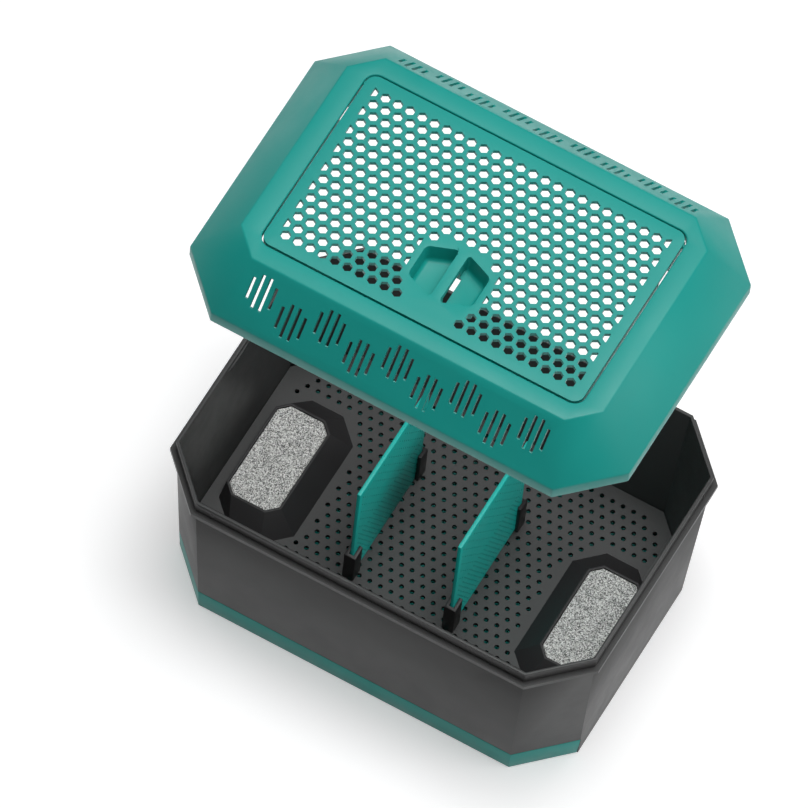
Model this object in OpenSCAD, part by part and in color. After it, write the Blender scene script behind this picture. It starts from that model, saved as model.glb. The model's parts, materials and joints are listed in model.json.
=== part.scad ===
// Cricket keeper box: an octagonal tub with a sieve floor, a pull-out frass tray,
// two board dividers, two water feeders and a lift-off lid with a hinged mesh hatch.
// Millimetres, +Z up, origin on the table under the middle of the tub.
// The lid stands raised straight above the tub.

/* [Tub] */
// Length of the tub at its lip, outside
lip_len = 300; // [260:1:360]
// Width of the tub at its lip, outside
lip_wid = 217; // [200:1:260]
// Leg of the corner chamfer at the lip
lip_cham = 32.5; // [26:0.5:42]
// Leg of the corner chamfer at the table
foot_cham = 32; // [26:0.5:42]
// Height of the tub from the table to the top of its lip
tub_h = 138; // [120:1:200]
// How far each wall leans in from the lip to the table, along the length
lean_len = 6; // [2:0.5:9]
// How far each wall leans in from the lip to the table, along the width
lean_wid = 8.2; // [3:0.2:11]
// Thickness of the tub walls
tub_wall = 2.2; // [1.6:0.1:3]
// Height of the upright lip above the ledge that carries the lid
lip_h = 9.5; // [6:0.5:11]
// Thickness of the ledge under the lip
ledge_t = 3; // [2.5:0.5:8]
// Length of each snap ridge inside the two short walls
ridge_len = 30; // [16:1:50]
// How far a snap ridge stands in from the wall
ridge_proud = 1; // [0.5:0.1:1.4]
// Height of a snap ridge
ridge_h = 3.6; // [2:0.2:6]
// Diameter of the round nubs on the outside of the lip
nub_d = 2.2; // [1.4:0.1:3]

/* [Sieve floor] */
// Height of the top of the sieve floor above the table
floor_top = 24; // [22:0.5:30]
// Thickness of the sieve floor
floor_t = 2.5; // [2:0.1:3]
// Diameter of a sieve hole
hole_d = 3.2; // [2:0.1:4]
// Distance between sieve holes along the length
hole_pitch = 7.64; // [7:0.02:9]
// Distance between rows of sieve holes
hole_row = 6.86; // [6:0.02:8]
// Distance between the middles of the outermost sieve holes and the edge of the floor
hole_margin = 9; // [7:0.5:16]
// Plain strip between the sieve holes and a feeder
hole_land = 2; // [1:0.5:4]
// Width of the seat that carries the sieve floor
seat_wid = 5; // [4:0.5:6]
// Thickness of the seat
seat_t = 2.2; // [1.6:0.1:2.4]

/* [Frass tray] */
// Thickness of the tray's walls and floor
tray_wall = 2; // [1.4:0.1:2.6]
// Height of the runners that the tray slides on
runner_h = 1.6; // [1.2:0.1:2.4]
// Width of the runners
runner_wid = 8; // [5:0.5:12]
// How far the bottom of the tray's front clears the table
front_gap = 0.6; // [0.4:0.1:1.2]

/* [Dividers] */
// Distance of each divider board from the middle of the tub
div_x = 36; // [30:0.5:46]
// Length of a divider board
div_len = 89; // [70:1:110]
// Height of a divider board
div_h = 102; // [70:1:105]
// Thickness of a divider board
div_t = 2.6; // [2:0.1:3.2]
// Width of a board clip, across the board
clip_wid = 8; // [7:0.5:11]
// Depth of a board clip, along the board
clip_len = 9.5; // [8:0.5:15]
// Height of a board clip at its two prongs
clip_h = 29.5; // [22:0.5:44]
// How much lower a board clip is at its end wall
clip_drop = 2.5; // [1:0.5:6]
// Thickness of the end wall of a board clip
clip_wall = 2.2; // [1.6:0.1:3]

/* [Feeders] */
// Length of a feeder at its foot, across the tub
feed_len = 108; // [90:1:114]
// Width of a feeder at its foot
feed_wid = 54.6; // [50:0.2:60]
// Leg of the corner chamfer at a feeder's foot
feed_cham = 16; // [10:0.5:20]
// Gap between a feeder and the end of the sieve floor
feed_gap = 8.2; // [4:0.2:12]
// Height of a feeder
feed_h = 12.5; // [11:0.5:18]
// Length of a feeder's top
feed_top_len = 78; // [64:1:84]
// Width of a feeder's top
feed_top_wid = 39.5; // [34:0.5:42]
// Leg of the corner chamfer at a feeder's top
feed_top_cham = 7.5; // [5:0.5:10]
// How far the outer side of a feeder leans in
feed_lean = 1.2; // [0.4:0.2:4]
// Thickness of a feeder cover
feed_wall = 1.8; // [1.4:0.1:2.2]
// Thickness of a felt pad
felt_t = 3; // [2:0.2:3.4]
// Width of the rim round a felt pad
felt_rim = 1.4; // [1:0.1:2.4]
// How far the felt pad sits below the rim
felt_drop = 0.4; // [0.2:0.1:0.8]
// Height of a water cup
cup_h = 5.6; // [4:0.2:6]
// Diameter of a wick hole under a felt pad
wick_d = 6; // [4:0.5:8]

/* [Lid] */
// How far the lid stands out beyond the lip, all round
lid_over = 3; // [2.6:0.1:4]
// Height of the upright band at the foot of the lid
band_h = 9.5; // [9:0.5:12]
// Height of the sloping skirts
slope_h = 33.6; // [26:0.2:42]
// Length of the lid's flat top
top_len = 251.5; // [246:0.5:262]
// Width of the lid's flat top
top_wid = 166; // [162:0.5:172]
// Leg of the corner chamfer of the lid's flat top
top_cham = 17.3; // [12:0.1:20]
// Thickness of the lid's walls
lid_wall = 2.4; // [1.8:0.1:2.6]
// Thickness of the lid's top
top_t = 3; // [2.4:0.1:4]
// Height of the bottom of the raised lid above the table
lid_z = 366.5; // [330:0.5:420]
// Width of a vent slot
vent_wid = 2.1; // [1.6:0.1:2.8]
// Distance between the slots of one vent group
vent_pitch = 5.2; // [4:0.1:5.6]
// Number of vent groups on each long side, high and low in turn
vent_n = 9; // [5:2:9]
// Distance between vent groups
vent_group = 23.6; // [21:0.1:25]
// Length of the two middle slots of a group
vent_long = 23; // [16:0.5:25]
// Length of the two outer slots of a group
vent_short = 15; // [8:0.5:16]
// Height of the high groups' middle up the slope
vent_high = 26.5; // [24:0.5:27]
// Height of the low groups' middle up the slope
vent_low = 18; // [16:0.5:20]

/* [Hatch] */
// Length of the opening in the lid for the hatch
open_len = 223.6; // [214:0.2:228]
// Width of the opening in the lid for the hatch
open_wid = 141; // [137:0.5:144]
// Radius of the opening's corners
open_r = 8; // [5:0.5:12]
// Gap between the hatch and the opening
hatch_gap = 1.1; // [0.8:0.1:1.6]
// Thickness of the hatch
hatch_t = 3; // [2.4:0.1:3.6]
// Depth of the rims round the hatch and round its opening
rim_h = 6; // [5.6:0.1:8]
// Thickness of those rims
rim_t = 2; // [1.6:0.1:2.6]
// Distance between mesh holes along the length
mesh_pitch = 8.6; // [8:0.05:9.4]
// Distance between rows of mesh holes
mesh_row = 7.75; // [7.2:0.05:8.2]
// Width of a mesh hole across its flats
mesh_hole = 6; // [4:0.1:6.4]
// Rows of mesh holes
mesh_rows = 16; // [10:1:16]
// Plain border between the mesh and the short edges of the hatch
mesh_border = 7; // [5:0.5:14]
// Diameter of a hinge pin
pin_d = 3; // [2:0.1:3.4]
// How far the hinge pins sit in from the back edge of the hatch
pin_in = 7; // [5:0.5:10]
// Free length of a hinge pin beyond the hatch
pin_out = 5; // [3:0.5:6]

/* [Grip] */
// Width of the pinch grip, along the lid
grip_wid = 44.6; // [36:0.2:48]
// Height of the pinch grip, across the lid
grip_hgt = 38.5; // [30:0.5:42]
// Straight length of the grip's outer edges
grip_side = 23; // [12:0.5:26]
// Thickness of the bar that the fingers pinch
grip_bar = 6.6; // [5:0.2:9]
// Depth of the grip's pockets
grip_deep = 13; // [8:0.5:16]
// How far the outer walls of the pockets lean in
grip_lean = 1.6; // [0.6:0.2:3]
// Thickness of the grip's walls
grip_wall = 1.8; // [1.4:0.1:2.4]
// Plain land beside the grip, where mesh holes stop short
grip_land = 3.9; // [3:0.1:6]
// Width of the plain strip in front of the grip
grip_strip = 36.6; // [26:0.2:42]
// Depth of the bar above the slot at its foot
slot_drop = 5; // [4:0.5:8]
// Length of the slot at the foot of the bar
slot_len = 22; // [10:1:26]
// How far the slot reaches out into the right pocket
slot_out = 1.3; // [0.5:0.1:3]
// How far the slot reaches in under the bar
slot_in = 2.6; // [1:0.1:3]
// Distance of the grip's middle in front of the middle of the hatch
grip_y = 31.5; // [26:0.5:36]

/* [Hidden] */

// clearances
lid_play = 0.6;      // between the lip and the lid's band
floor_play = 0.4;    // between the sieve floor and the walls round it
tray_play = 0.6;     // between the tray and the tub
board_play = 0.3;    // between a divider board and its clips
felt_play = 0.3;     // between a felt pad and its rim
cup_play = 0.8;      // between a water cup and the cover over it
pin_play = 0.05;     // round a hinge pin, in its hole in the lid
eps = 0.01;
far = 1000;

charcoal = [0.27, 0.27, 0.27];
dark = [0.16, 0.155, 0.16];
teal = [0.16, 0.6, 0.55];
felt_grey = [0.62, 0.62, 0.62];

// an octagon is [length, width, chamfer leg]
function inset(o, d) = [o[0] - 2 * d, o[1] - 2 * d, o[2] - (2 - sqrt(2)) * d];
function mix(a, b, t) = a + (b - a) * t;

lip_oct = [lip_len, lip_wid, lip_cham];
foot_oct = [lip_len - 2 * lean_len, lip_wid - 2 * lean_wid, foot_cham];
function tub_oct(z) = mix(foot_oct, lip_oct, z / tub_h);
lid_oct = inset(lip_oct, -lid_over);
top_oct = [top_len, top_wid, top_cham];

ledge_z = tub_h - lip_h;
seat_top = floor_top - floor_t;
seat_low = seat_top - seat_t;
floor_oct = inset(tub_oct(seat_top), tub_wall + floor_play);
bay_y = tub_oct(0)[1] / 2 - tub_oct(0)[2];        // where the front chamfers begin
tray_top = seat_low - tray_play;
tray_low = runner_h + tray_play;
tray_oct = inset(tub_oct(0), tub_wall + tray_play);

nub_proud = 0.4;     // how far a nub stands out from the lip
nub_in = 12;         // distance of a nub from the start of the corner chamfer

feed_out = floor_oct[0] / 2 - feed_gap;           // outer edge of a feeder
feed_mid = feed_out - feed_wid / 2;
feed_top_mid = feed_out - feed_lean - feed_top_wid / 2;
feed_foot_oct = [feed_wid, feed_len, feed_cham];
feed_top_oct = [feed_top_wid, feed_top_len, feed_top_cham];
felt_z = floor_top + feed_h - felt_drop - felt_t;
cup_oct = inset(feed_top_oct, feed_wall + cup_play);
wick_n = 4;          // wick holes under each felt pad

lid_top = lid_z + band_h + slope_h;
slope_run = (lid_oct[1] - top_wid) / 2;
slope_tilt = atan2(slope_h, slope_run);
cavity_z = lip_h + lid_play;                      // where the band's straight inside ends
cavity_top_oct = inset(top_oct, lid_wall);

hatch_len = open_len - 2 * hatch_gap;
hatch_wid = open_wid - 2 * hatch_gap;
hatch_r = open_r - hatch_gap;
hatch_low = lid_top - hatch_t;
pin_y = hatch_wid / 2 - pin_in;
pin_z = lid_top - rim_h / 2;
boss_d = rim_h;      // diameter of the bosses round the hinge pins
boss_len = 6;        // length of the boss in the lid round each hinge pin
pin_seat = 6;        // length of the hinge pin inside the hatch
window_y = 38;       // middle of the window in the rims in front of each hinge pin
window_len = 12;     // length of that window
rest_len = 110;      // length of the ledge that stops the hatch
rest_t = 2;          // thickness of that ledge
rest_wid = 4;        // how far that ledge reaches under the hatch
rest_gap = 0.3;      // gap between that ledge and the hatch
mesh_top_y = (mesh_rows - 1) * mesh_row / 2;
mesh_half = hatch_len / 2 - mesh_border;
slot_y = -2;         // middle of the grip's slot, from the middle of the grip

module octagon(o) {
    a = o[0] / 2;
    b = o[1] / 2;
    c = o[2];
    polygon([[a - c, b], [c - a, b], [-a, b - c], [-a, c - b],
             [c - a, -b], [a - c, -b], [a, c - b], [a, b - c]]);
}

module oct_prism(o, z0, z1) {
    translate([0, 0, z0]) linear_extrude(z1 - z0) octagon(o);
}

// a wedge with two leaning sides: half width h0 at the foot, h1 at the top, turned about Z
module lean_slab(h0, h1, h, turn) {
    rotate([0, 0, turn]) rotate([90, 0, 0])
        linear_extrude(far, center = true)
            polygon([[-h0, 0], [h0, 0], [h1, h], [-h1, h]]);
}

// an octagon that changes size with height
module oct_taper(o0, o1, z0, z1) {
    d0 = (o0[0] / 2 + o0[1] / 2 - o0[2]) / sqrt(2);
    d1 = (o1[0] / 2 + o1[1] / 2 - o1[2]) / sqrt(2);
    translate([0, 0, z0]) intersection() {
        lean_slab(o0[0] / 2, o1[0] / 2, z1 - z0, 0);
        lean_slab(o0[1] / 2, o1[1] / 2, z1 - z0, 90);
        lean_slab(d0, d1, z1 - z0, 45);
        lean_slab(d0, d1, z1 - z0, -45);
    }
}

module round_rect(l, w, r) {
    for (x = [-1, 1], y = [-1, 1])
        translate([x * (l / 2 - r), y * (w / 2 - r)]) circle(r, $fn = 48);
    square([l - 2 * r, w], center = true);
    square([l, w - 2 * r], center = true);
}

// the space that the tray slides in, open at the front
module tray_bay() {
    translate([-far / 2, -far - bay_y, -eps]) cube([far, far, seat_low + eps]);
}

module snap_ridge() {
    half = ridge_len / 2;
    bow = (half * half + ridge_proud * ridge_proud) / (2 * ridge_proud);
    inner = tub_oct(ledge_z + lip_h / 2)[0] / 2 - tub_wall;
    z = tub_h - lip_h / 2 - ridge_h / 2;
    intersection() {
        translate([bow + inner - ridge_proud, 0, z]) cylinder(r = bow, h = ridge_h, $fn = 360);
        translate([inner - ridge_proud - 1, -half, z]) cube([ridge_proud + 1 + tub_wall / 2, ridge_len, ridge_h]);
    }
}

module lip_nubs() {
    z = ledge_z + lip_h / 2;
    o = tub_oct(z);
    for (s = [-1, 1], x = [-1, 1])
        translate([x * (o[0] / 2 - o[2] - nub_in), s * o[1] / 2, z])
            rotate([90, 0, 0]) cylinder(d = nub_d, h = 2 * nub_proud, center = true, $fn = 24);
    for (s = [-1, 1], y = [-1, 1])
        translate([s * o[0] / 2, y * (o[1] / 2 - o[2] - nub_in), z])
            rotate([0, 90, 0]) cylinder(d = nub_d, h = 2 * nub_proud, center = true, $fn = 24);
}

module tub() {
    color(charcoal) difference() {
        union() {
            difference() {
                union() {
                    oct_taper(foot_oct, lip_oct, 0, tub_h);
                    oct_prism(lid_oct, ledge_z - ledge_t, ledge_z);
                    lip_nubs();
                }
                oct_taper(inset(foot_oct, tub_wall), inset(lip_oct, tub_wall), 0, tub_h);
                translate([0, 0, tub_h - eps]) oct_prism(inset(lip_oct, tub_wall), 0, 1);
                translate([0, 0, -1]) oct_prism(inset(foot_oct, tub_wall), 0, 1 + eps);
            }
            // seat for the sieve floor
            difference() {
                oct_prism(inset(tub_oct(seat_low), tub_wall / 2), seat_low, seat_top);
                oct_prism(inset(tub_oct(seat_low), tub_wall + seat_wid), seat_low - 1, seat_top + 1);
            }
            // runners for the tray
            for (s = [-1, 1])
                translate([s * (foot_oct[0] / 2 - tub_wall / 2 - (runner_wid + tub_wall / 2) / 2), 0, runner_h / 2])
                    cube([runner_wid + tub_wall / 2, 2 * bay_y, runner_h], center = true);
            snap_ridge();
            mirror([1, 0, 0]) snap_ridge();
        }
        tray_bay();
    }
}

function in_octagon(x, y, o) =
    abs(x) <= o[0] / 2 && abs(y) <= o[1] / 2 && abs(x) + abs(y) <= (o[0] + o[1]) / 2 - o[2];
function in_field(x, y) =
    in_octagon(x, y, inset(floor_oct, hole_margin))
    && !in_octagon(abs(x) - feed_mid, y, inset(feed_foot_oct, -hole_land - hole_d / 2));

module sieve_floor() {
    rows = floor(floor_oct[1] / 2 / hole_row);
    cols = floor(floor_oct[0] / 2 / hole_pitch) + 1;
    color(charcoal) translate([0, 0, seat_top]) linear_extrude(floor_t) difference() {
        octagon(floor_oct);
        for (j = [-rows:rows], i = [-cols:cols]) {
            x = (i + (abs(j) % 2) / 2) * hole_pitch;
            y = j * hole_row;
            if (in_field(x, y)) translate([x, y]) circle(d = hole_d, $fn = 24);
        }
    }
}

module frass_tray() {
    color(teal) {
        // tray body, set in from the tub's walls
        difference() {
            oct_prism(tray_oct, tray_low, tray_top);
            oct_prism(inset(tray_oct, tray_wall), tray_low + tray_wall, tray_top + 1);
        }
        // front that stays flush with the tub's front wall and front chamfers
        intersection() {
            difference() {
                oct_taper(foot_oct, lip_oct, 0, tub_h);
                oct_prism(inset(tray_oct, tray_wall), -1, tub_h + 1);
            }
            translate([-far / 2, -far - bay_y - tray_play, front_gap]) cube([far, far, tray_top - front_gap]);
        }
    }
}

// s is -1 for the left divider and 1 for the right one
module divider(s) {
    color(teal) translate([s * div_x, 0, floor_top + board_play + div_h / 2])
        cube([div_t, div_len, div_h], center = true);
}

// e is -1 for the front clip and 1 for the back one
module clip(s, e) {
    end = div_len / 2 + board_play + clip_wall;
    slot = div_t + 2 * board_play;
    color(dark) translate([s * div_x, 0, floor_top]) mirror([0, e < 0 ? 1 : 0, 0]) difference() {
        translate([-clip_wid / 2, end - clip_len, 0]) cube([clip_wid, clip_len, clip_h]);
        translate([-slot / 2, end - clip_len - 1, -1]) cube([slot, clip_len + 1 - clip_wall, clip_h + 2]);
        // sloping tops, lower towards the end wall
        translate([-clip_wid, end, clip_h - clip_drop]) rotate([-atan2(clip_drop, clip_len), 0, 0])
            translate([0, -2 * clip_len, 0]) cube([2 * clip_wid, 3 * clip_len, clip_h]);
    }
}

// octagon taper between two octagons whose middles differ along X
module feeder_solid(o0, o1, z0, z1) {
    hull() {
        translate([feed_mid, 0, 0]) oct_prism(o0, z0, z0 + eps);
        translate([feed_top_mid, 0, 0]) oct_prism(o1, z1 - eps, z1);
    }
}

module feeder_cover(s) {
    z1 = floor_top + feed_h;
    shelf = felt_z - feed_wall;
    color(dark) mirror([s < 0 ? 1 : 0, 0, 0]) difference() {
        feeder_solid(feed_foot_oct, feed_top_oct, floor_top, z1);
        // hollow under the shelf
        intersection() {
            feeder_solid(inset(feed_foot_oct, feed_wall), inset(feed_top_oct, feed_wall), floor_top - eps, z1);
            translate([0, -far / 2, 0]) cube([far, far, shelf]);
        }
        // recess for the felt pad
        translate([feed_top_mid, 0, 0]) oct_prism(inset(feed_top_oct, felt_rim), felt_z, z1 + 1);
        // wick holes
        for (k = [1:wick_n])
            translate([feed_top_mid, (k / (wick_n + 1) - 0.5) * feed_top_len, shelf - 1])
                cylinder(d = wick_d, h = feed_wall + 2, $fn = 32);
    }
}

module water_cup(s) {
    color(dark) translate([s * feed_top_mid, 0, 0]) difference() {
        oct_prism(cup_oct, floor_top, floor_top + cup_h);
        oct_prism(inset(cup_oct, feed_wall), floor_top + feed_wall, floor_top + cup_h + 1);
    }
}

module felt_pad(s) {
    color(felt_grey) translate([s * feed_top_mid, 0, 0])
        oct_prism(inset(feed_top_oct, felt_rim + felt_play), felt_z, felt_z + felt_t);
}

// the slots of one vent group, standing on the slope with the group's middle at the origin
module vent_slots() {
    for (k = [-1.5:1:1.5])
        translate([k * vent_pitch, 0, 0])
            cube([vent_wid, abs(k) < 1 ? vent_long : vent_short, 4 * lid_wall], center = true);
}

module vents() {
    for (s = [0, 180], g = [0:vent_n - 1])
        rotate([0, 0, s])
            translate([(g - (vent_n - 1) / 2) * vent_group, -lid_oct[1] / 2, lid_z + band_h]) rotate([slope_tilt, 0, 0])
                translate([0, g % 2 == 0 ? vent_high : vent_low, -lid_wall]) vent_slots();
}

// a wall that stands down to z0 round the edge of a rounded rectangle
module rim(l, w, r, z0) {
    translate([0, 0, z0]) linear_extrude(lid_top - z0 - eps) difference() {
        round_rect(l, w, r);
        round_rect(l - 2 * rim_t, w - 2 * rim_t, r - rim_t);
    }
}

// windows through both rims, in front of the hinge pins
module rim_windows() {
    reach = 2 * (rim_t + hatch_gap) + 2;
    for (s = [-1, 1])
        translate([s * open_len / 2 - reach / 2, window_y - window_len / 2, lid_top - rim_h - 1])
            cube([reach, window_len, rim_h + 1 - max(top_t, hatch_t)]);
}

module lid_shell() {
    color(teal) difference() {
        union() {
            difference() {
                union() {
                    oct_prism(lid_oct, lid_z, lid_z + band_h);
                    oct_taper(lid_oct, top_oct, lid_z + band_h, lid_top);
                }
                oct_prism(inset(lip_oct, -lid_play), lid_z - 1, lid_z + cavity_z);
                oct_taper(inset(lip_oct, -lid_play), cavity_top_oct, lid_z + cavity_z - eps, lid_top - top_t);
                translate([0, 0, lid_top - top_t - 2]) linear_extrude(top_t + 4) round_rect(open_len, open_wid, open_r);
            }
            difference() {
                rim(open_len + 2 * rim_t, open_wid + 2 * rim_t, open_r + rim_t, lid_top - rim_h);
                rim_windows();
            }
            // rest for the front edge of the hatch
            translate([-rest_len / 2, -open_wid / 2, lid_top - rim_h - rest_gap - rest_t]) {
                translate([0, -rim_t, 0]) cube([rest_len, rim_t, rest_t + rest_gap + rim_h - top_t / 2]);
                cube([rest_len, rest_wid, rest_t]);
            }
            // bosses that hold the hinge pins
            for (s = [-1, 1])
                translate([s * (open_len / 2 + boss_len / 2), pin_y, pin_z])
                    rotate([0, 90, 0]) cylinder(d = boss_d, h = boss_len, center = true, $fn = 32);
        }
        vents();
        for (s = [-1, 1])
            translate([s * (open_len / 2 + boss_len / 2), pin_y, pin_z])
                rotate([0, 90, 0]) cylinder(d = pin_d + 2 * pin_play, h = boss_len + 2, center = true, $fn = 32);
    }
}

// the grip's six-sided outline, its sides moved in by d0 at z0 and by d1 at z1
module grip_taper(d0, d1, z0, z1) {
    tilt = atan2((grip_hgt - grip_side) / 2, (grip_wid - grip_bar) / 2);
    n = grip_hgt / 2 * cos(tilt) + grip_bar / 2 * sin(tilt);
    translate([0, 0, z0]) intersection() {
        lean_slab(grip_wid / 2 - d0, grip_wid / 2 - d1, z1 - z0, 0);
        lean_slab(n - d0, n - d1, z1 - z0, 90 - tilt);
        lean_slab(n - d0, n - d1, z1 - z0, 90 + tilt);
    }
}

// both pockets, with a bar left between them
module pockets() {
    difference() {
        grip_taper(grip_lean, -grip_lean / grip_deep, -grip_deep, 1);
        translate([-grip_bar / 2, -grip_hgt, -2 * grip_deep]) cube([grip_bar, 2 * grip_hgt, 3 * grip_deep]);
    }
}

module grip_body() {
    grip_taper(grip_lean - grip_wall, -grip_wall, -grip_deep - grip_wall, -hatch_t / 2);
}

module mesh_holes() {
    cols = ceil(mesh_half / mesh_pitch);
    intersection() {
        square([2 * mesh_half, hatch_wid], center = true);
        for (j = [0:mesh_rows - 1], i = [-cols:cols]) {
            x = (i + (j % 2) / 2) * mesh_pitch;
            y = mesh_top_y - j * mesh_row;
            if (!before_grip(x, y)) difference() {
                translate([x, y]) rotate([0, 0, 30]) circle(mesh_hole / 2 / cos(30), $fn = 6);
                // beside the grip, a hole stops at its plain land
                if (abs(y + grip_y) < grip_side / 2 + grip_land)
                    translate([0, y]) square([grip_wid + 2 * grip_land, 2 * mesh_hole], center = true);
            }
        }
    }
}
function before_grip(x, y) = y + grip_y < grip_hgt / 2 + grip_land && abs(x) < grip_strip / 2;

module hinge_knuckles(d, over) {
    for (s = [-1, 1])
        translate([s * (hatch_len / 2 - pin_seat / 2), pin_y, pin_z])
            rotate([0, 90, 0]) cylinder(d = d, h = pin_seat + over, center = true, $fn = 32);
}

module hatch() {
    color(teal) difference() {
        union() {
            hinge_knuckles(boss_d, 0);
            translate([0, 0, hatch_low]) linear_extrude(hatch_t) difference() {
                round_rect(hatch_len, hatch_wid, hatch_r);
                mesh_holes();
            }
            difference() {
                rim(hatch_len, hatch_wid, hatch_r, lid_top - rim_h);
                rim_windows();
            }
            translate([0, -grip_y, lid_top]) grip_body();
        }
        translate([0, -grip_y, lid_top]) {
            pockets();
            // slot in the right pocket, at the foot of the bar and reaching in under it
            translate([grip_bar / 2 - slot_in, slot_y - slot_len / 2, -grip_deep - 2 * grip_wall])
                cube([slot_in + slot_out, slot_len, grip_deep + 2 * grip_wall - slot_drop]);
        }
        hinge_knuckles(pin_d, eps);
    }
}

module hinge_pin(s) {
    color(teal) translate([s * (hatch_len / 2 - pin_seat + (pin_seat + pin_out) / 2), pin_y, pin_z])
        rotate([0, 90, 0]) cylinder(d = pin_d, h = pin_seat + pin_out, center = true, $fn = 32);
}

tub();
sieve_floor();
frass_tray();
divider(-1);  // divider_left
divider(1);  // divider_right
clip(-1, -1);  // clip_left_front
clip(-1, 1);  // clip_left_back
clip(1, -1);  // clip_right_front
clip(1, 1);  // clip_right_back
water_cup(-1);  // water_cup_left
water_cup(1);  // water_cup_right
feeder_cover(-1);  // feeder_cover_left
feeder_cover(1);  // feeder_cover_right
felt_pad(-1);  // felt_pad_left
felt_pad(1);  // felt_pad_right
lid_shell();
hatch();
hinge_pin(-1);  // hinge_pin_left
hinge_pin(1);  // hinge_pin_right
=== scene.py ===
import bpy
import bmesh
import json
import math
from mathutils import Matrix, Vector, noise

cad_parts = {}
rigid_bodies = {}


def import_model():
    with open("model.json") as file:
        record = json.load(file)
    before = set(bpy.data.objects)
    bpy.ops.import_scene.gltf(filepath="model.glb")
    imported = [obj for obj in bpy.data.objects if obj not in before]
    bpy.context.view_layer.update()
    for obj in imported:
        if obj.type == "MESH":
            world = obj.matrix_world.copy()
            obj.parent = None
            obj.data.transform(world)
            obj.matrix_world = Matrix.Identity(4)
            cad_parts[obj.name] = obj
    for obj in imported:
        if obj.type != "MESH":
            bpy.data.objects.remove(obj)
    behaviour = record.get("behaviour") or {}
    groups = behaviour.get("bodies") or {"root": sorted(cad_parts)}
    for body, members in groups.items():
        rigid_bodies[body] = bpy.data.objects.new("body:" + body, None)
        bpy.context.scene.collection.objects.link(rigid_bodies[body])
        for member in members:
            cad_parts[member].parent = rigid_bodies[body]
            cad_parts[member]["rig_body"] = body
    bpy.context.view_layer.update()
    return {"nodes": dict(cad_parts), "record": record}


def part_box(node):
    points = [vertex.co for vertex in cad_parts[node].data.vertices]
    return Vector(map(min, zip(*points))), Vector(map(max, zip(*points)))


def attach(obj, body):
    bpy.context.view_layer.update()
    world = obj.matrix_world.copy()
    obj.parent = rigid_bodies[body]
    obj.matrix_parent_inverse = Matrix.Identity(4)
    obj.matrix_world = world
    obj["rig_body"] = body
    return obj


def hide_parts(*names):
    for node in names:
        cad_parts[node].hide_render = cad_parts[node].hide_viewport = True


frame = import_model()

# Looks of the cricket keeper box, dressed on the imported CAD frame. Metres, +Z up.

NODES = frame["nodes"]
TO_MM = 1000
TO_M = 0.001


def body_of(node):
    """Name of the CAD body that a node belongs to."""
    for body, members in frame["record"]["behaviour"]["bodies"].items():
        if node in members:
            return body
    raise KeyError(node)


# Camera, from a fit of the box's corners in the photograph, 808 pixels on a side

PHOTO_SIDE = 808
FOCAL_PX = 14000.0
CAMERA_AZIMUTH = math.radians(23.037)
CAMERA_ELEVATION = math.radians(59.876)
CAMERA_ROLL = math.radians(7.204)
CAMERA_DISTANCE = 8.788
CAMERA_TARGET = Vector((-0.050, 0.0415, 0.100))
SENSOR_MM = 36.0


def make_camera():
    """The photograph's camera: a long lens, high up, with some roll."""
    data = bpy.data.cameras.new("camera")
    data.sensor_width = SENSOR_MM
    data.sensor_fit = "HORIZONTAL"
    data.lens = FOCAL_PX * SENSOR_MM / PHOTO_SIDE
    data.clip_start = 0.1
    data.clip_end = 100.0
    cam = bpy.data.objects.new("camera", data)
    bpy.context.scene.collection.objects.link(cam)
    sin_a, cos_a = math.sin(CAMERA_AZIMUTH), math.cos(CAMERA_AZIMUTH)
    sin_e, cos_e = math.sin(CAMERA_ELEVATION), math.cos(CAMERA_ELEVATION)
    back = Vector((sin_a * cos_e, -cos_a * cos_e, sin_e))
    right = Vector((cos_a, sin_a, 0.0))
    up = back.cross(right)
    right_rolled = right * math.cos(CAMERA_ROLL) + up * math.sin(CAMERA_ROLL)
    up_rolled = back.cross(right_rolled)
    place = CAMERA_TARGET + back * CAMERA_DISTANCE
    for row in range(3):
        cam.matrix_world[row][0] = right_rolled[row]
        cam.matrix_world[row][1] = up_rolled[row]
        cam.matrix_world[row][2] = back[row]
        cam.matrix_world[row][3] = place[row]
    bpy.context.scene.camera = cam


# Materials

def srgb(r, g, b):
    """0 to 255 display values to the linear colour that Blender takes."""
    def lin(v):
        v = v / 255
        return v / 12.92 if v <= 0.04045 else ((v + 0.055) / 1.055) ** 2.4
    return (lin(r), lin(g), lin(b), 1.0)


def scaled(colour, k):
    """A colour k times as bright, opaque."""
    return (colour[0] * k, colour[1] * k, colour[2] * k, 1.0)


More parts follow.
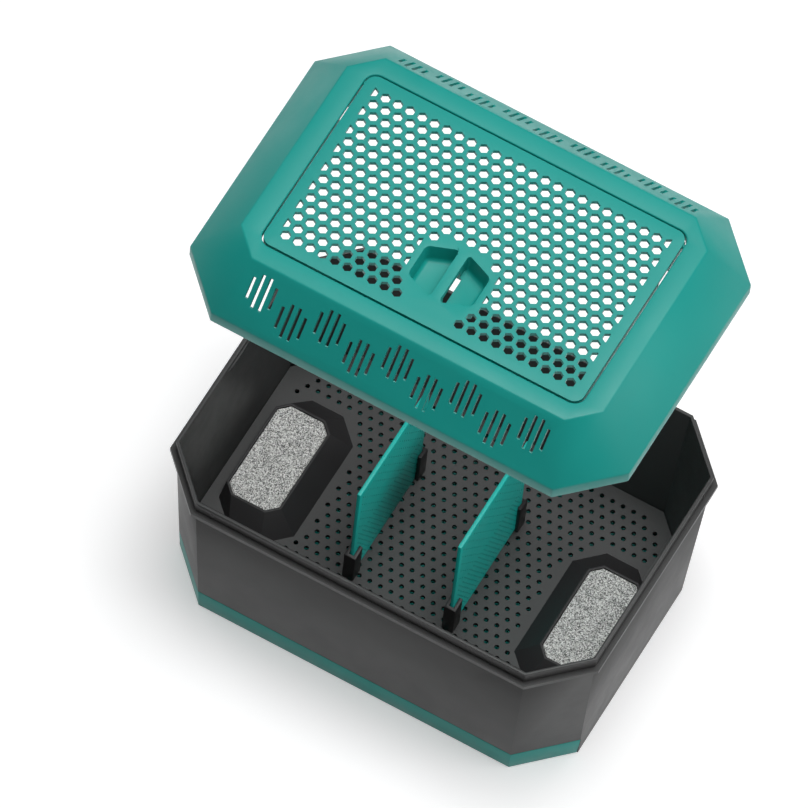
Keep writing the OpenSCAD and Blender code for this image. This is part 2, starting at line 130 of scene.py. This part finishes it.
class Nodes:
    """A small helper that adds and joins shader nodes."""

    def __init__(self, name):
        self.material = bpy.data.materials.new(name)
        self.material.use_nodes = True
        self.tree = self.material.node_tree
        self.shader = self.tree.nodes["Principled BSDF"]
        self.coords = self.add("ShaderNodeTexCoord").outputs["Object"]

    def add(self, kind, inputs=None, **settings):
        node = self.tree.nodes.new(kind)
        for key, value in settings.items():
            setattr(node, key, value)
        for key, value in (inputs or {}).items():
            self.put(value, node.inputs[key])
        return node

    def put(self, value, socket):
        if isinstance(value, bpy.types.NodeSocket):
            self.tree.links.new(value, socket)
        else:
            socket.default_value = value

    def noise(self, scale, detail=2.0, rough=0.5):
        node = self.add("ShaderNodeTexNoise", {
            "Vector": self.coords, "Scale": scale, "Detail": detail, "Roughness": rough})
        return node.outputs["Fac"]

    def spread(self, value, low, high, to_low, to_high):
        node = self.add("ShaderNodeMapRange", {
            "Value": value, "From Min": low, "From Max": high, "To Min": to_low, "To Max": to_high})
        return node.outputs[0]

    def blend(self, fac, a, b):
        # 0, 6 and 7 are the factor and the two colours, and output 2 is the mixed colour
        node = self.add("ShaderNodeMix", data_type="RGBA")
        self.put(fac, node.inputs[0])
        self.put(a, node.inputs[6])
        self.put(b, node.inputs[7])
        return node.outputs[2]

    def bump(self, height, strength, distance, normal=None):
        node = self.add("ShaderNodeBump", {
            "Height": height, "Strength": strength, "Distance": distance})
        if normal:
            self.put(normal, node.inputs["Normal"])
        return node.outputs["Normal"]


NOISE_SPAN = (0.3, 0.7)
MOTTLE = 0.06
SATIN = 0.42


def moulded_plastic(name, colour, rough):
    """Satin moulded plastic: faint colour mottling, uneven gloss and a fine moulded grain."""
    n = Nodes(name)
    patches = n.noise(9.0, 3.0)
    fac = n.spread(patches, *NOISE_SPAN, 0.0, 1.0)
    mottled = n.blend(fac, scaled(colour, 1 - MOTTLE), scaled(colour, 1 + MOTTLE))
    n.put(mottled, n.shader.inputs["Base Color"])
    smears = n.noise(38.0, 4.0, 0.6)
    gloss = n.spread(smears, *NOISE_SPAN, rough - 0.05, rough + 0.06)
    n.put(gloss, n.shader.inputs["Roughness"])
    fine = n.noise(2600.0, 2.0)
    wide = n.noise(160.0, 2.0)
    first = n.bump(fine, 0.10, 0.00012)
    n.put(n.bump(wide, 0.05, 0.0004, first), n.shader.inputs["Normal"])
    n.shader.inputs["Specular IOR Level"].default_value = 0.36
    return n.material


def felt_material():
    """Needled felt: light and dark grey fibres in fine specks over soft blotches."""
    n = Nodes("felt")
    specks = n.noise(1150.0, 3.0, 0.75)
    blotches = n.noise(190.0, 3.0, 0.6)
    light = srgb(246, 245, 243)
    dark = srgb(52, 52, 51)
    mid_light = srgb(204, 203, 200)
    mid_dark = srgb(160, 159, 157)
    base = n.blend(n.spread(blotches, 0.35, 0.65, 0.0, 1.0), mid_dark, mid_light)
    fibres = n.blend(n.spread(specks, 0.42, 0.47, 1.0, 0.0), base, dark)
    fibres = n.blend(n.spread(specks, 0.53, 0.59, 0.0, 1.0), fibres, light)
    n.put(fibres, n.shader.inputs["Base Color"])
    n.shader.inputs["Roughness"].default_value = 0.95
    n.shader.inputs["Sheen Weight"].default_value = 0.25
    n.shader.inputs["Sheen Roughness"].default_value = 0.6
    n.put(n.bump(specks, 0.7, 0.0006), n.shader.inputs["Normal"])
    return n.material


def set_material(obj, material):
    obj.data.materials.clear()
    obj.data.materials.append(material)


TEAL = moulded_plastic("teal_plastic", srgb(20, 154, 145), SATIN)
CHARCOAL = moulded_plastic("charcoal_plastic", srgb(64, 64, 64), SATIN)
DARK = moulded_plastic("dark_plastic", srgb(43, 42, 43), SATIN)
# Darker teal for the faces inside the boards' dimples: painted shade in the small hollows, not a
# colour of the plastic
DIMPLE_PAINTED_SHADE = moulded_plastic("teal_plastic_in_dimples", srgb(6, 44, 41), 0.7)
FELT = felt_material()
FINISH = {"teal": TEAL, "charcoal": CHARCOAL, "dark": DARK, "felt": FELT}


def slot_of(node):
    """Name of the material slot that the record gives a node."""
    for sub in frame["record"]["subparts"]:
        if sub["node"] == node:
            return sub["material_slot"]
    raise KeyError(node)


# Moulded pieces with rounded edges

def new_object(name, mesh):
    obj = bpy.data.objects.new(name, mesh)
    bpy.context.scene.collection.objects.link(obj)
    return obj


SHARP = math.radians(28)
FLAT = math.radians(0.6)
SMOOTH = math.radians(40)
WELD_MM = 0.002


def smooth_by_angle(bm):
    """Shades smooth, but for edges that turn by SMOOTH or more."""
    for face in bm.faces:
        face.smooth = True
    for edge in bm.edges:
        edge.smooth = edge.is_manifold and edge.calc_face_angle(math.pi) < SMOOTH


def merged(node):
    """The CAD mesh of a node with its flat triangles joined, in millimetres."""
    bm = bmesh.new()
    bm.from_mesh(NODES[node].data)
    bmesh.ops.scale(bm, vec=(TO_MM, TO_MM, TO_MM), verts=bm.verts)
    bmesh.ops.remove_doubles(bm, verts=bm.verts, dist=WELD_MM)
    bmesh.ops.dissolve_limit(bm, angle_limit=FLAT, verts=bm.verts, edges=bm.edges,
                             use_dissolve_boundaries=False)
    return bm


def round_edges(bm, test, radius, segments, clamp=True):
    """Rounds the sharp edges that pass the test, given the two ends of an edge in millimetres."""
    picked = [e for e in bm.edges
              if e.is_manifold and e.calc_face_angle(0.0) > SHARP
              and test(e.verts[0].co, e.verts[1].co)]
    bmesh.ops.bevel(bm, geom=picked, offset=radius, offset_type="OFFSET", segments=segments,
                    profile=0.5, affect="EDGES", clamp_overlap=clamp, harden_normals=False)


def moulded(node, rules):
    """A copy of a CAD node with rounded edges, which stands for that node.

    Each rule holds what round_edges takes: test, radius, segments and, where it is off, clamp.
    """
    bm = merged(node)
    for rule in rules:
        round_edges(bm, *rule)
    bmesh.ops.triangulate(bm, faces=[f for f in bm.faces if len(f.verts) > 4])
    smooth_by_angle(bm)
    bmesh.ops.scale(bm, vec=(TO_M, TO_M, TO_M), verts=bm.verts)
    mesh = bpy.data.meshes.new(node + "_moulded")
    bm.to_mesh(mesh)
    bm.free()
    obj = new_object(mesh.name, mesh)
    set_material(obj, FINISH[slot_of(node)])
    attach(obj, body_of(node))
    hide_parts(node)
    return obj


def corner(node, which):
    """The low or high corner of a node's box, in millimetres."""
    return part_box(node)[which] * TO_MM


# Tests of an edge or a point, in millimetres. NEAR is how close to a level counts as on it.

NEAR = 0.1
LONG_EDGE = 1.2


def any_edge(a, b):
    return True


def long_edge(a, b):
    return (a - b).length > LONG_EDGE


def both(test):
    """An edge test that asks the same of both ends."""
    return lambda a, b: test(a) and test(b)


def tub_rules():
    """The lip, the upright corners of the outer wall, and every other edge of some length."""
    top = corner("tub", 1)
    wall_h, wall_x = 40, 90

    def at_lip(p):
        return p.z > top.z - NEAR

    def wall(a, b):
        return abs(a.z - b.z) > wall_h and max(abs(a.x), abs(b.x)) > wall_x

    return [(both(at_lip), 0.7, 3, False), (wall, 1.1, 3), (long_edge, 0.4, 2)]


BAND_H = 9.5


def lid_rules():
    """The rim of the hatch's opening, the top, and the outside of the skirt and its band.

    The vent slots stay sharp, because rounding breaks shapes as fine as that.
    """
    low, high = corner("lid_shell", 0), corner("lid_shell", 1)
    hatch = corner("hatch", 1)
    margin = 2

    def at_top(p):
        return p.z > high.z - NEAR

    def in_opening(p):
        return at_top(p) and abs(p.x) < hatch.x + margin and abs(p.y) < hatch.y + margin

    def on_skirt(p):
        # foot and top of the upright band, and the top
        heights = (abs(p.z - low.z), abs(p.z - low.z - BAND_H), abs(p.z - high.z))
        outside = at_top(p) or abs(p.x) > high.x - margin or abs(p.y) > high.y - margin
        return min(heights) < NEAR and outside

    return [(both(in_opening), 1.1, 4), (both(at_top), 0.9, 3), (both(on_skirt), 0.9, 3)]


# The hatch's pinch grip, a six-sided hollow with a bar across it, in millimetres

GRIP_Y = -31.5
GRIP_DEEP = 13.0
GRIP_TILT = 7.75 / 19
GRIP_HALF_X = 22.3
GRIP_HALF_Y = 19.25
GRIP_BAR_HALF = 3.3


def in_grip(p, more):
    """Whether a point lies within the grip's six-sided outline, grown by some millimetres."""
    x, y = abs(p.x), abs(p.y - GRIP_Y)
    edge = GRIP_HALF_Y + GRIP_BAR_HALF * GRIP_TILT - x * GRIP_TILT
    return x < GRIP_HALF_X + more and y < edge + more


def hatch_rules():
    """The grip's hollow and its mouth, then the outline. The mesh holes stay sharp."""
    high = corner("hatch", 1)
    rim, loose = 4, 0.3

    def at_rim(p):
        return abs(p.x) > high.x - rim or abs(p.y) > high.y - rim

    def at_top(p):
        return p.z > high.z - NEAR

    def at_floor(p):
        return abs(p.z - high.z + GRIP_DEEP) < NEAR and in_grip(p, NEAR)

    def slot(p):
        # the narrow slot in the grip's floor
        return 0.4 < p.x < 4.9 and abs(p.y - GRIP_Y + 2) < 11.4 and p.z < high.z - 4

    def in_hollow(p):
        return in_grip(p, loose) and not slot(p)

    def hollow(a, b):
        return (at_floor(a) or at_floor(b)) and in_hollow(a) and in_hollow(b)

    def at_mouth(p):
        return in_grip(p, loose) and at_top(p)

    def at_outline(p):
        return at_rim(p) and at_top(p)

    def rest(a, b):
        return long_edge(a, b) and at_rim(a) and at_rim(b)

    return [(hollow, 2.8, 5, False), (both(at_mouth), 1.1, 4), (both(at_outline), 1.1, 4),
            (rest, 0.35, 1)]


def finish_cad_nodes():
    """Gives every CAD node its material, for those that no moulded copy replaces."""
    for node, obj in NODES.items():
        set_material(obj, FINISH[slot_of(node)])


# Boards with rows of dimples for the insects' feet, sparse above and close below

DIMPLE_R = 0.0006
DIMPLE_DEEP = 0.0006
DIMPLE_SIDES = 6
CLOSE_HEIGHT = 0.046
BARE_EDGE = 0.004


def dimple_places(low, high):
    """Places of the dimples on a board's face, as pairs of Y and Z."""
    places = []
    z = low.z + 0.006
    row = 0
    while z < high.z - BARE_EDGE:
        step, rise = (0.0034, 0.003) if z < low.z + CLOSE_HEIGHT else (0.0067, 0.0046)
        y = low.y + 0.0045 + (row % 2) * step / 2
        while y < high.y - BARE_EDGE:
            places.append((y, z))
            y += step
        z += rise
        row += 1
    return places


def dimple_cutter(node):
    """One mesh with a small blunt pin at each dimple on both faces of a board."""
    low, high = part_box(node)
    bm = bmesh.new()
    angles = [2 * math.pi * k / DIMPLE_SIDES for k in range(DIMPLE_SIDES)]
    for y, z in dimple_places(low, high):
        for face, out in ((low.x, -1), (high.x, 1)):
            rings = []
            for depth, r in ((0.0002, DIMPLE_R), (-DIMPLE_DEEP, 0.8 * DIMPLE_R)):
                x = face + out * depth
                rings.append([bm.verts.new((x, y + r * math.cos(a), z + r * math.sin(a)))
                              for a in angles])
            for k in range(DIMPLE_SIDES):
                m = (k + 1) % DIMPLE_SIDES
                bm.faces.new((rings[0][k], rings[0][m], rings[1][m], rings[1][k]))
            bm.faces.new(rings[0][::-1])
            bm.faces.new(rings[1])
    bmesh.ops.recalc_face_normals(bm, faces=bm.faces)
    mesh = bpy.data.meshes.new(node + "_cutter")
    bm.to_mesh(mesh)
    bm.free()
    return bpy.data.objects.new(mesh.name, mesh)


def board(node):
    """A divider board with the dimples cut out of it, with painted shade (a darker teal) inside
    them.
    """
    obj = moulded(node, [(any_edge, 0.5, 3)])
    cutter = dimple_cutter(node)
    bpy.context.scene.collection.objects.link(cutter)
    cut = obj.modifiers.new("dimples", "BOOLEAN")
    cut.operation = "DIFFERENCE"
    cut.solver = "EXACT"
    cut.object = cutter
    dg = bpy.context.evaluated_depsgraph_get()
    dimpled = bpy.data.meshes.new_from_object(obj.evaluated_get(dg))
    obj.modifiers.clear()
    obj.data = dimpled
    bm = bmesh.new()
    bm.from_mesh(dimpled)
    bmesh.ops.triangulate(bm, faces=bm.faces)
    smooth_by_angle(bm)
    low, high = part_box(node)
    border, skin = 0.002, 0.00005
    for face in bm.faces:
        c = face.calc_center_median()
        in_y = low.y + border < c.y < high.y - border
        in_z = low.z + border < c.z < high.z - border
        if in_y and in_z and low.x + skin < c.x < high.x - skin:
            # faces inside the dimples take the darker teal, painted shade
            face.material_index = 1
    set_material(obj, FINISH[slot_of(node)])
    dimpled.materials.append(DIMPLE_PAINTED_SHADE)
    bm.to_mesh(dimpled)
    bm.free()
    bpy.data.objects.remove(cutter)


# Felt pads

FELT_VOXEL = 0.00055
FELT_FINE = 0.00016
FELT_WIDE = 0.00014


def felt_pad(node):
    """A pad with rounded edges and an uneven top, in the place of the plain CAD solid."""
    low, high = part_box(node)
    bm = merged(node)
    round_edges(bm, any_edge, 0.6, 3)
    bmesh.ops.scale(bm, vec=(TO_M, TO_M, TO_M), verts=bm.verts)
    mesh = bpy.data.meshes.new(node + "_felt")
    bm.to_mesh(mesh)
    bm.free()
    obj = new_object(mesh.name, mesh)
    remesh = obj.modifiers.new("remesh", "REMESH")
    remesh.mode = "VOXEL"
    remesh.voxel_size = FELT_VOXEL
    dg = bpy.context.evaluated_depsgraph_get()
    fine = bpy.data.meshes.new_from_object(obj.evaluated_get(dg))
    obj.modifiers.clear()
    obj.data = fine
    for v in fine.vertices:
        p = v.co * TO_MM
        fine_part = noise.noise(p * 0.9) * FELT_FINE
        wide_part = noise.noise(p * 0.28 + Vector((5, 5, 5))) * FELT_WIDE
        rough = fine_part + wide_part
        if v.co.z > (low.z + high.z) / 2:
            v.co.z += rough - FELT_FINE
        else:
            v.co.z = max(v.co.z, low.z)
    for poly in fine.polygons:
        poly.use_smooth = True
    set_material(obj, FELT)
    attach(obj, body_of(node))
    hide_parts(node)


# Studio

LAMPS_AIM = Vector((0, 0, 0.2))


def area_light(name, place, size, watts, lit):
    """A square lamp aimed at the box, for the pieces that the collection lit allows."""
    data = bpy.data.lights.new(name, "AREA")
    data.shape = "SQUARE"
    data.size = size
    data.energy = watts
    obj = bpy.data.objects.new(name, data)
    bpy.context.scene.collection.objects.link(obj)
    obj.location = place
    obj.rotation_euler = (LAMPS_AIM - Vector(place)).to_track_quat("-Z", "Y").to_euler()
    obj.light_linking.receiver_collection = lit
    obj.light_linking.blocker_collection = lit


FLOOR_LIFT = 0.4
FLOOR_HALF = 30.0


def make_floor():
    """A wide pale floor, which takes the box's shadow."""
    mesh = bpy.data.meshes.new("studio_floor")
    half = FLOOR_HALF
    corners = [(-half, -half, 0), (half, -half, 0), (half, half, 0), (-half, half, 0)]
    mesh.from_pydata(corners, [], [(0, 1, 2, 3)])
    floor = new_object("studio_floor", mesh)
    n = Nodes("pale_floor")
    n.shader.inputs["Base Color"].default_value = (0.80, 0.80, 0.805, 1)
    n.shader.inputs["Roughness"].default_value = 0.9
    n.shader.inputs["Specular IOR Level"].default_value = 0.1
    # white to the camera and in reflections, with the shadow kept
    path = n.add("ShaderNodeLightPath")
    rays = {0: path.outputs["Is Camera Ray"], 1: path.outputs["Is Glossy Ray"]}
    seen = n.add("ShaderNodeMath", rays, operation="MAXIMUM").outputs[0]
    n.shader.inputs["Emission Color"].default_value = (1, 1, 1, 1)
    n.put(n.spread(seen, 0.0, 1.0, 0.0, FLOOR_LIFT), n.shader.inputs["Emission Strength"])
    set_material(floor, n.material)


WORLD_LIGHT = 0.12


def make_world():
    """A dim even light, which the camera sees as white."""
    world = bpy.data.worlds.new("studio")
    world.use_nodes = True
    bpy.context.scene.world = world
    tree = world.node_tree
    background = tree.nodes["Background"]
    background.inputs["Color"].default_value = (1, 1, 1, 1)
    background.inputs["Strength"].default_value = WORLD_LIGHT
    white = tree.nodes.new("ShaderNodeBackground")
    white.inputs["Color"].default_value = (1, 1, 1, 1)
    white.inputs["Strength"].default_value = 1.0
    path = tree.nodes.new("ShaderNodeLightPath")
    mix = tree.nodes.new("ShaderNodeMixShader")
    tree.links.new(path.outputs["Is Camera Ray"], mix.inputs["Fac"])
    tree.links.new(background.outputs[0], mix.inputs[1])
    tree.links.new(white.outputs[0], mix.inputs[2])
    tree.links.new(mix.outputs[0], tree.nodes["World Output"].inputs["Surface"])


def group(name, bodies, state):
    """A collection of the pieces that ride on some bodies, which a lamp takes in or leaves out."""
    members = bpy.data.collections.new(name)
    for obj in bpy.data.objects:
        if obj.type == "MESH" and obj.get("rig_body") in bodies:
            members.objects.link(obj)
    for entry in members.collection_objects:
        entry.light_linking.link_state = state
    return members


# A set of lamps: how far back the overhead one stands, and the watts overhead, right and left

LID_LAMPS = (0.35, 51, 12.5, 5)
TUB_LAMPS = (0.16, 53, 12, 7.5)
BOARD_WATTS = 38


def make_lights():
    """Each lamp twice: the lid, held over the tub, doesn't shade it in the photograph."""
    lid = group("lid_pieces", ("lid", "hatch"), "INCLUDE")
    rest = group("all_but_lid", ("lid", "hatch"), "EXCLUDE")
    boards = group("board_pieces", ("board_left", "board_right"), "INCLUDE")
    for name, lit, lamps in (("lid", lid, LID_LAMPS), ("tub", rest, TUB_LAMPS)):
        back, over, right, left = lamps
        area_light(name + "_overhead", (0.25, back, 2.7), 1.5, over, lit)
        area_light(name + "_right", (2.3, 0.5, 1.3), 1.4, right, lit)
        area_light(name + "_left", (-2.3, 0.8, 1.2), 1.4, left, lit)
    area_light("board_fill", (1.9, -1.0, 1.6), 1.0, BOARD_WATTS, boards)


bpy.context.scene.view_settings.view_transform = "Standard"
make_camera()
make_world()
make_floor()
finish_cad_nodes()
moulded("tub", tub_rules())
moulded("lid_shell", lid_rules())
moulded("hatch", hatch_rules())
moulded("frass_tray", [(any_edge, 0.5, 3)])
for side in ("left", "right"):
    board("divider_" + side)
    moulded("feeder_cover_" + side, [(any_edge, 0.5, 3)])
    moulded("water_cup_" + side, [(any_edge, 0.3, 2)])
    felt_pad("felt_pad_" + side)
    for end in ("front", "back"):
        moulded("clip_" + side + "_" + end, [(any_edge, 0.3, 2)])

make_lights()
